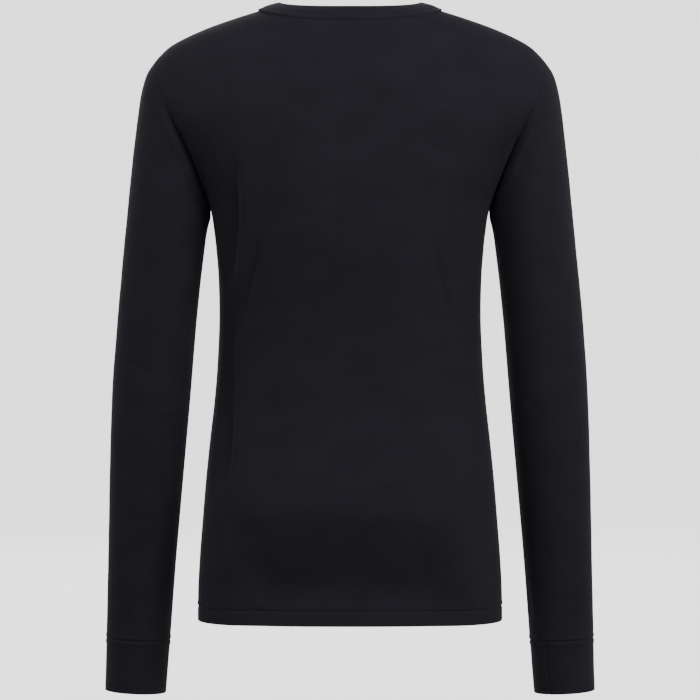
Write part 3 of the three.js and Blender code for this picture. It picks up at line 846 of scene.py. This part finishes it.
def neck_half(panel):
    """Places along half of a panel's neckline, and the way down the panel from each."""
    shares = np.linspace(0, 1, NECK_STEPS) ** NECK_EASE * NECK_HALF_WIDTH / TIP_X
    line = panel_points(panel, TIP_Z, 1, shares)
    rise = NECK_ALLOWANCE_RISE
    below = panel_points(panel, between(UNDERARM_Z, TIP_Z, rise), rise, shares)
    along = lengths(line, 0)
    targets = np.linspace(0, along[-1], NECKBAND_COLUMNS + 1)
    return values_at(targets, along, np.concatenate([line, unit(below - line)], 1))


def neckband_piece():
    back, front = neck_half("back"), neck_half("front")
    mirror = np.tile(mirrored(-1), 2)
    ring = [front[::-1], front[1:] * mirror, back[-2::-1] * mirror, back[1:-1], front[-1:]]
    ring = np.concatenate(ring)
    seam, down = ring[:, :3], ring[:, 3:]
    x, y, z = seam.T
    towards_middle = 1 - (x / NECK_HALF_WIDTH) ** 2
    end = np.where((y > 0)[:, None], NECKBAND_LEAN["back"], NECKBAND_LEAN["front"])
    lean = between(NECKBAND_LEAN["side"], end, towards_middle[:, None])
    flat = np.hypot(x, y)
    around = np.roll(seam[:-1], -1, 0) - np.roll(seam[:-1], 1, 0)
    outward = unit(np.cross(np.concatenate([around, around[:1]]), down))
    grid = [seam + down * below - outward * deep for below, deep in NECK_ALLOWANCE]
    for share in graded(NECKBAND_HEIGHT, NECKBAND_ROWS, end=False) / NECKBAND_HEIGHT:
        bulge = NECKBAND_BULGE * math.sin(math.pi * share)
        kept = 1 - (lean[:, 1] * share - bulge) / flat
        grid.append(np.stack([x * kept, y * kept, z + lean[:, 0] * share + bulge / 2], -1))
    grid = np.array(grid)
    for end, inside in ((0, 1), (-1, -2)):
        grid[:, end] += unit(grid[:, end] - grid[:, inside]) * NECK_LAP
    across, up = lengths(grid, 1), lengths(grid, 0)
    normal = grid_normals(grid, 1)
    normal[:, [0, -1]] = unit(normal[:, 0] + normal[:, -1])[:, None]
    relief = seam_relief(up - up[len(NECK_ALLOWANCE)]) * NECK_SEAM
    relief += NECK_JOIN * seam_relief(np.minimum(across, across[:, -1:] - across))
    grid = grid + normal * relief[..., None]
    return shell("neckband", grid, DOUBLED, np.stack([across, up], -1), 1, inset=NECKBAND_INSET)


back = panel_piece("back")
front = panel_piece("front")
sleeve_left = sleeve_piece("sleeve_left", 1)
sleeve_right = sleeve_piece("sleeve_right", -1)
cuff_left = cuff_piece("cuff_left", 1)
cuff_right = cuff_piece("cuff_right", -1)
neckband = neckband_piece()


# Sewing: stitches in the hem, and the overlocked allowances inside

STITCH_LENGTH, STITCH_PITCH, STITCH_RADIUS = 2.1, 2.6, 0.2
STITCH_SIDES, STITCH_START, STITCH_ROW_GAP = 6, 1, 3.2
# Along a stitch: the share of its length, its thickness and how far it stands out
STITCH_STATIONS = np.array(
    [(0, 0.3, -0.22), (0.12, 0.95, 0.02), (0.5, 1, 0.12), (0.88, 0.95, 0.02), (1, 0.3, -0.22)]
)
HEM_STITCH_ROWS = (HEM_STITCH, HEM_STITCH + STITCH_ROW_GAP)
# An allowance is a ribbon: how wide and thick it is, how far it laps the seam, and its gap
ALLOWANCE_WIDTH, ALLOWANCE_THICK, ALLOWANCE_LAP, ALLOWANCE_GAP = 7, 1.1, 1.5, 0.05
ALLOWANCE_WAVE, ALLOWANCE_WAVE_SIZE = 0.07, 9
# Its cross section, as shares of its width and its thickness
ALLOWANCE_SECTION = np.array(
    [(0, 0.5), (0.05, 0.12), (0.25, 0), (0.75, 0), (0.95, 0.12)]
    + [(1, 0.5), (0.95, 0.88), (0.75, 1), (0.25, 1), (0.05, 0.88)]
)
# Rows or columns from the seam to the one that the allowance points to
ALLOWANCE_REACH = 6
ROLL_DEPTH, ROLL_RADIUS, ROLL_SIDES = 1.5, 1.25, 8
SEWING_CRINKLE = 0.1


def swept(name, sections, closed, cut=None):
    """A solid swept through rings of points, with capped ends unless it is a loop."""
    count, around = sections.shape[:2]
    ids = np.arange(count * around).reshape(count, around)
    onward = np.roll(ids, -1, 0) if closed else ids[1:]
    here = ids if closed else ids[:-1]
    faces = np.stack([here, onward, np.roll(onward, -1, 1), np.roll(here, -1, 1)], -1)
    faces = faces.reshape(-1, 4).tolist()
    if not closed:
        faces += [ids[0].tolist(), ids[-1][::-1].tolist()]
    points = sections.reshape(-1, 3)
    centre = sections.mean(1)
    lean = np.cross(sections[1] - sections[0], np.roll(sections[0], -1, 0) - sections[0])
    if (lean * (sections[0] - centre[0])).sum() < 0:
        faces = [face[::-1] for face in faces]
    return make_mesh(name, points, faces, cut)


def allowance(name, line, towards, normal, closed=False):
    """A seam's allowance: an overlocked ribbon that lies inside the cloth beside the seam."""
    into = unit(towards - line)
    along = lengths(line, 0)
    size = ALLOWANCE_WAVE_SIZE
    wave = 1 + ALLOWANCE_WAVE * lattice_noise(along, along * 0, size, size, len(line))
    across = -ALLOWANCE_LAP + ALLOWANCE_WIDTH * ALLOWANCE_SECTION[:, 0] * wave[:, None]
    deep = JERSEY + ALLOWANCE_GAP + ALLOWANCE_THICK * ALLOWANCE_SECTION[:, 1]
    sections = line[:, None] + into[:, None] * across[..., None] - normal[:, None] * deep[:, None]
    cut = np.stack([across, along[:, None] + 0 * across, SEWING_CRINKLE + 0 * across], -1)
    return swept(name, sections, closed, cut.reshape(-1, 3))


def hem_line(panel, height):
    """The outer face of a panel at one height above its hem, and its normals."""
    grid, normal = SURFACES[panel]
    down = lengths(grid, 0)
    row = np.array([np.searchsorted(column, height) for column in down.T]) - 1
    col = np.arange(grid.shape[1])
    share = ((height - down[row, col]) / (down[row + 1, col] - down[row, col]))[:, None]
    return (
        between(grid[row, col], grid[row + 1, col], share),
        between(normal[row, col], normal[row + 1, col], share),
    )


def stitch_row(line, normal):
    """Short threads end to end along a line, each dipping into the cloth at both its ends."""
    along = lengths(line, 0)
    starts = np.arange(STITCH_START, along[-1] - STITCH_PITCH, STITCH_PITCH)
    shares, sizes, lifts = STITCH_STATIONS.T
    place = starts[:, None] + STITCH_LENGTH * shares
    centre, out = values_at(place, along, line), values_at(place, along, normal)
    beside = np.cross(unit(centre[:, -1:] - centre[:, :1]) + 0 * out, out)
    turn = np.arange(STITCH_SIDES)[:, None] * 2 * math.pi / STITCH_SIDES
    ring = out[:, :, None] * np.cos(turn) + beside[:, :, None] * np.sin(turn)
    centre = centre + out * lifts[:, None]
    return centre[:, :, None] + ring * (STITCH_RADIUS * sizes)[:, None, None]


def hem_stitches(panel):
    rings = np.concatenate([stitch_row(*hem_line(panel, height)) for height in HEM_STITCH_ROWS])
    ids = np.arange(rings.size // 3).reshape(rings.shape[:3])
    sides = np.stack(
        [ids[:, :-1], np.roll(ids, -1, 2)[:, :-1], np.roll(ids, -1, 2)[:, 1:], ids[:, 1:]], -1
    )
    faces = sides.reshape(-1, 4).tolist()
    faces += ids[:, 0, ::-1].tolist() + ids[:, -1].tolist()
    return make_mesh(f"hem_stitches_{panel}", rings.reshape(-1, 3), faces)


def body_allowances():
    grid, normal = SURFACES["back"]
    rows = slice(0, HEM_ROWS + BODY_ROWS)
    middle = (grid.shape[1] - 1) // 2
    # The shoulder's allowance starts just beyond the neck's corner
    corner = NECK_COLUMNS + 2
    below = -1 - ALLOWANCE_REACH
    made = []
    for name, edge, step in (("left", -1, -1), ("right", 0, 1)):
        inside = edge + step * ALLOWANCE_REACH
        cols = slice(middle + corner, None) if edge == -1 else slice(0, middle - corner + 1)
        side = grid[rows, edge], grid[rows, inside], normal[rows, inside]
        shoulder = grid[-1, cols], grid[below, cols], normal[below, cols]
        made += [
            allowance(f"side_seam_{name}", *side),
            allowance(f"shoulder_seam_{name}", *shoulder),
        ]
    return made


def seam_roll(name, line, outward):
    """The turned edges behind the armhole's seam, which stand as a roll inside it."""
    beside = unit(np.cross(outward, np.roll(line, -1, 0) - np.roll(line, 1, 0)))
    turn = np.arange(ROLL_SIDES) * 2 * math.pi / ROLL_SIDES
    ring = outward[:, None] * np.cos(turn)[:, None] + beside[:, None] * np.sin(turn)[:, None]
    sections = (line - outward * ROLL_DEPTH)[:, None] + ROLL_RADIUS * ring
    along = lengths(line, 0)[:, None] + 0 * turn
    cut = np.stack([ROLL_RADIUS * turn + 0 * along, along, SEWING_CRINKLE + 0 * along], -1)
    return swept(name, sections, True, cut.reshape(-1, 3))


def sleeve_allowances(name):
    grid, normal = SURFACES[name]
    # The last column is the first again
    loops, turned = grid[:, :-1], normal[:, :-1]
    first, last = ALLOWANCE_REACH, -1 - ALLOWANCE_REACH
    mirror = mirrored(np.sign(grid[0, 0, 0]))
    outward = armhole_outward(loops[0] * mirror) * mirror
    return [
        seam_roll(f"{name}_armhole_roll", loops[0], outward),
        allowance(f"{name}_armhole", loops[0], loops[first], turned[first], closed=True),
        allowance(f"{name}_seam", grid[:, 0], grid[:, first], normal[:, first]),
        allowance(f"{name}_cuff_seam", loops[-1], loops[last], turned[last], closed=True),
    ]


stitches_back, stitches_front = hem_stitches("back"), hem_stitches("front")
allowances_body = body_allowances()
allowances_left = sleeve_allowances("sleeve_left")
allowances_right = sleeve_allowances("sleeve_right")


# Materials


def set_inputs(node, **values):
    for name, value in values.items():
        node.inputs[name.replace("_", " ")].default_value = value


def nodes_of(name):
    material = bpy.data.materials.new(name)
    material.use_nodes = True
    tree = material.node_tree
    tree.nodes.clear()
    output = tree.nodes.new("ShaderNodeOutputMaterial")
    shader = tree.nodes.new("ShaderNodeBsdfPrincipled")
    tree.links.new(shader.outputs[0], output.inputs[0])
    return material, tree, shader


def math_node(tree, operation, *values):
    node = tree.nodes.new("ShaderNodeMath")
    node.operation = operation
    for socket, value in zip(node.inputs, values):
        if isinstance(value, (int, float)):
            socket.default_value = value
        else:
            tree.links.new(value, socket)
    return node.outputs[0]


def noise_node(tree, cut, scale, detail=2.0, roughness=0.5):
    """Noise over the flat cut, with its own scale across, along and by crinkle."""
    stretched = tree.nodes.new("ShaderNodeMapping")
    set_inputs(stretched, Scale=scale)
    tree.links.new(cut, stretched.inputs["Vector"])
    node = tree.nodes.new("ShaderNodeTexNoise")
    set_inputs(node, Scale=1.0, Detail=detail, Roughness=roughness)
    tree.links.new(stretched.outputs[0], node.inputs["Vector"])
    return node.outputs["Fac"]


def ramp_node(tree, fac, stops):
    node = tree.nodes.new("ShaderNodeValToRGB")
    for element, (place, colour) in zip(node.color_ramp.elements, stops):
        element.position = place
        element.color = (*colour, 1)
    tree.links.new(fac, node.inputs[0])
    return node.outputs[0]


def cut_place(tree):
    """A point's place in the flat cut, and that place's parts."""
    place = tree.nodes.new("ShaderNodeAttribute")
    place.attribute_name = "cut"
    parts = tree.nodes.new("ShaderNodeSeparateXYZ")
    tree.links.new(place.outputs["Vector"], parts.inputs[0])
    return place.outputs["Vector"], *parts.outputs


def bump_node(tree, height, strength, distance):
    node = tree.nodes.new("ShaderNodeBump")
    set_inputs(node, Strength=strength, Distance=distance * MM)
    tree.links.new(height, node.inputs["Height"])
    return node


# The knit's gauge: the width of a wale and the height of a course
WALE, COURSE = 0.8, 0.62
# Bumps: strength and depth
KNIT_BUMP, CRINKLE_BUMP, OVERLOCK_BUMP = (0.6, 0.12), (0.8, 1.4), (0.8, 0.3)
OVERLOCK_PITCH = 1.3


def jersey_material(name, dark, light):
    material, tree, shader = nodes_of(name)
    cut, u, v, crinkled = cut_place(tree)
    calc = functools.partial(math_node, tree)
    noise = functools.partial(noise_node, tree, cut)
    # Each wale is two legs that slope up and out from its middle
    shifted = calc("MULTIPLY_ADD", noise((0.05, 0.05, 0)), 1.2, u)
    phase = calc("FRACT", calc("DIVIDE", shifted, WALE))
    from_middle = calc("MULTIPLY", calc("ABSOLUTE", calc("SUBTRACT", phase, 0.5)), 2)
    leg = calc("SINE", calc("MULTIPLY", from_middle, math.pi))
    climb = calc("MULTIPLY_ADD", from_middle, -0.8, calc("DIVIDE", v, COURSE))
    loop = calc("SINE", calc("MULTIPLY", climb, 2 * math.pi))
    loop = calc("MULTIPLY_ADD", loop, 0.5, 0.5)
    knit = calc("MULTIPLY", leg, calc("MULTIPLY_ADD", loop, 0.6, 0.4))
    # Melange yarn, slightly streaked along the courses, and softer patches
    yarn = noise((0.45, 1.5, 0), 3.0, 0.65)
    patches = noise((0.02, 0.03, 0))
    tone = calc("MULTIPLY_ADD", yarn, 0.75, calc("MULTIPLY", patches, 0.25))
    # The knit's hollows between the loops are painted slightly darker and its loop tops lighter:
    # painted shade in the knit
    tone = calc("MULTIPLY_ADD", knit, 0.18, tone)
    colour = ramp_node(tree, tone, [(0.3, dark), (0.72, light)])
    tree.links.new(colour, shader.inputs["Base Color"])
    rough = calc("MULTIPLY_ADD", yarn, -0.14, 0.92)
    tree.links.new(rough, shader.inputs["Roughness"])
    set_inputs(shader, Specular_IOR_Level=0.03, Sheen_Weight=0.02, Sheen_Roughness=0.45)
    set_inputs(shader, Sheen_Tint=(0.72, 0.72, 0.82, 1))
    # Fine crinkles along the courses
    crinkle = calc("MULTIPLY", noise((0.08, 0.45, 0), 2.0, 0.6), crinkled)
    knit_bump = bump_node(tree, knit, *KNIT_BUMP)
    crinkle_bump = bump_node(tree, crinkle, *CRINKLE_BUMP)
    tree.links.new(knit_bump.outputs[0], crinkle_bump.inputs["Normal"])
    tree.links.new(crinkle_bump.outputs[0], shader.inputs["Normal"])
    return material


jersey_knit = jersey_material("jersey_knit", (0.0048, 0.0042, 0.0060), (0.0114, 0.0104, 0.0144))
doubled_knit = jersey_material("doubled_knit", (0.0050, 0.0044, 0.0062), (0.0118, 0.0107, 0.0148))


def thread_material(name, colour, looped):
    """Polyester thread: plain in the hem's stitches, looped across the overlocked allowances."""
    material, tree, shader = nodes_of(name)
    set_inputs(shader, Base_Color=(*colour, 1), Roughness=0.62, Specular_IOR_Level=0.12)
    if looped:
        _, across, along, _ = cut_place(tree)
        slant = math_node(tree, "MULTIPLY_ADD", across, 0.35, along)
        turns = math_node(tree, "MULTIPLY", slant, 2 * math.pi / OVERLOCK_PITCH)
        bump = bump_node(tree, math_node(tree, "SINE", turns), *OVERLOCK_BUMP)
        tree.links.new(bump.outputs[0], shader.inputs["Normal"])
    return material


hem_thread = thread_material("hem_thread", (0.0085, 0.0078, 0.0105), False)
overlock_thread = thread_material("overlock_thread", (0.012, 0.011, 0.0145), True)

MATERIALS = {"jersey": jersey_knit, "doubled_jersey": doubled_knit}
# The size of a flat cut and its area, in metres
BACK_CUT, FRONT_CUT = ((0.49, 0.73), 0.2865), ((0.49, 0.73), 0.273)
SLEEVE_CUT, CUFF_CUT = ((0.34, 0.66), 0.158), ((0.22, 0.064), 0.0127)
NECKBAND_CUT = ((0.64, 0.03), 0.0165)
LEFT_NODES = ["sleeve_left_upper", "sleeve_left_lower"]
RIGHT_NODES = ["sleeve_right_upper", "sleeve_right_lower"]
# Each piece, its slot, its cut, the nodes that it stands for, and the sewing on it
PIECES = [
    (back, "jersey", *BACK_CUT, ["back"], [stitches_back, *allowances_body]),
    (front, "jersey", *FRONT_CUT, ["front"], [stitches_front]),
    (sleeve_left, "jersey", *SLEEVE_CUT, LEFT_NODES, allowances_left),
    (sleeve_right, "jersey", *SLEEVE_CUT, RIGHT_NODES, allowances_right),
    (cuff_left, "doubled_jersey", *CUFF_CUT, ["cuff_left"], []),
    (cuff_right, "doubled_jersey", *CUFF_CUT, ["cuff_right"], []),
    (neckband, "doubled_jersey", *NECKBAND_CUT, ["neckband"], []),
]
for piece, slot, flat, area, stands_for, sewing in PIECES:
    piece.data.materials.append(MATERIALS[slot])
    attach(piece, "root")
    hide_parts(*stands_for)
    for part in sewing:
        thread = hem_thread if part in (stitches_back, stitches_front) else overlock_thread
        part.data.materials.append(thread)
        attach(part, "root")

# A pale floor and soft light

FLOOR_Z = -0.86
# The floor is a bowl: the radius and the height of its rings, in metres
FLOOR_RINGS = np.array(
    [(0, 0), (1, 0), (3, 0), (5, 0), (6, 0.12), (6.8, 0.5), (7.3, 1.2), (7.6, 2.4), (7.7, 5)]
)
FLOOR_SIDES = 96
FLOOR_GREY, FLOOR_GLOW = (0.25, 0.25, 0.25, 1), 1.98
WORLD_LIGHT = 0.4
# Each light's place, the point that it faces, its size in metres and its power in watts
LIGHTS = {
    "light_key": ((-1.7, 2.1, 0.9), (0, 0, -0.3), (1.1, 1.2), 84),
    "light_fill": ((2.2, 0.1, 0.9), (0, 0, -0.3), (1.0, 1.2), 18),
    "light_top": ((0.2, 2.3, 1.9), (0, 0, -0.3), (1.8, 1.2), 84),
    "light_front": ((0.6, -3.0, 1.2), (0, 0, -0.35), (2.4, 2.0), 90),
}


def pale_floor():
    """The pale ground and background. It lights no cloth, which the lights alone do."""
    turns = np.linspace(0, 2 * math.pi, FLOOR_SIDES + 1)[:-1]
    radius, height = FLOOR_RINGS.T[:, :, None]
    level = FLOOR_Z + height + 0 * turns
    points = np.stack([radius * np.cos(turns), radius * np.sin(turns), level], -1)
    ids = np.arange(level.size).reshape(level.shape)
    right = np.roll(ids, -1, 1)
    faces = np.stack([ids[:-1], right[:-1], right[1:], ids[1:]], -1).reshape(-1, 4)
    floor = make_mesh("floor", points.reshape(-1, 3) / MM, faces.tolist())
    material, tree, shader = nodes_of("floor")
    set_inputs(shader, Base_Color=FLOOR_GREY, Roughness=0.9, Specular_IOR_Level=0.1)
    set_inputs(shader, Emission_Color=(1, 1, 1, 1), Emission_Strength=FLOOR_GLOW)
    floor.data.materials.append(material)
    floor.visible_diffuse = False


def area_light(name, place, target, size, power):
    data = bpy.data.lights.new(name, "AREA")
    data.shape = "RECTANGLE"
    data.size, data.size_y = size
    data.energy = power
    light = bpy.data.objects.new(name, data)
    light.location = place
    direction = Vector(target) - Vector(place)
    light.rotation_euler = direction.to_track_quat("-Z", "Y").to_euler()
    bpy.context.scene.collection.objects.link(light)


pale_floor()
world = bpy.data.worlds.new("world")
world.use_nodes = True
background = world.node_tree.nodes["Background"]
set_inputs(background, Color=(1, 1, 1, 1), Strength=WORLD_LIGHT)
bpy.context.scene.world = world
for light_name, setting in LIGHTS.items():
    area_light(light_name, *setting)
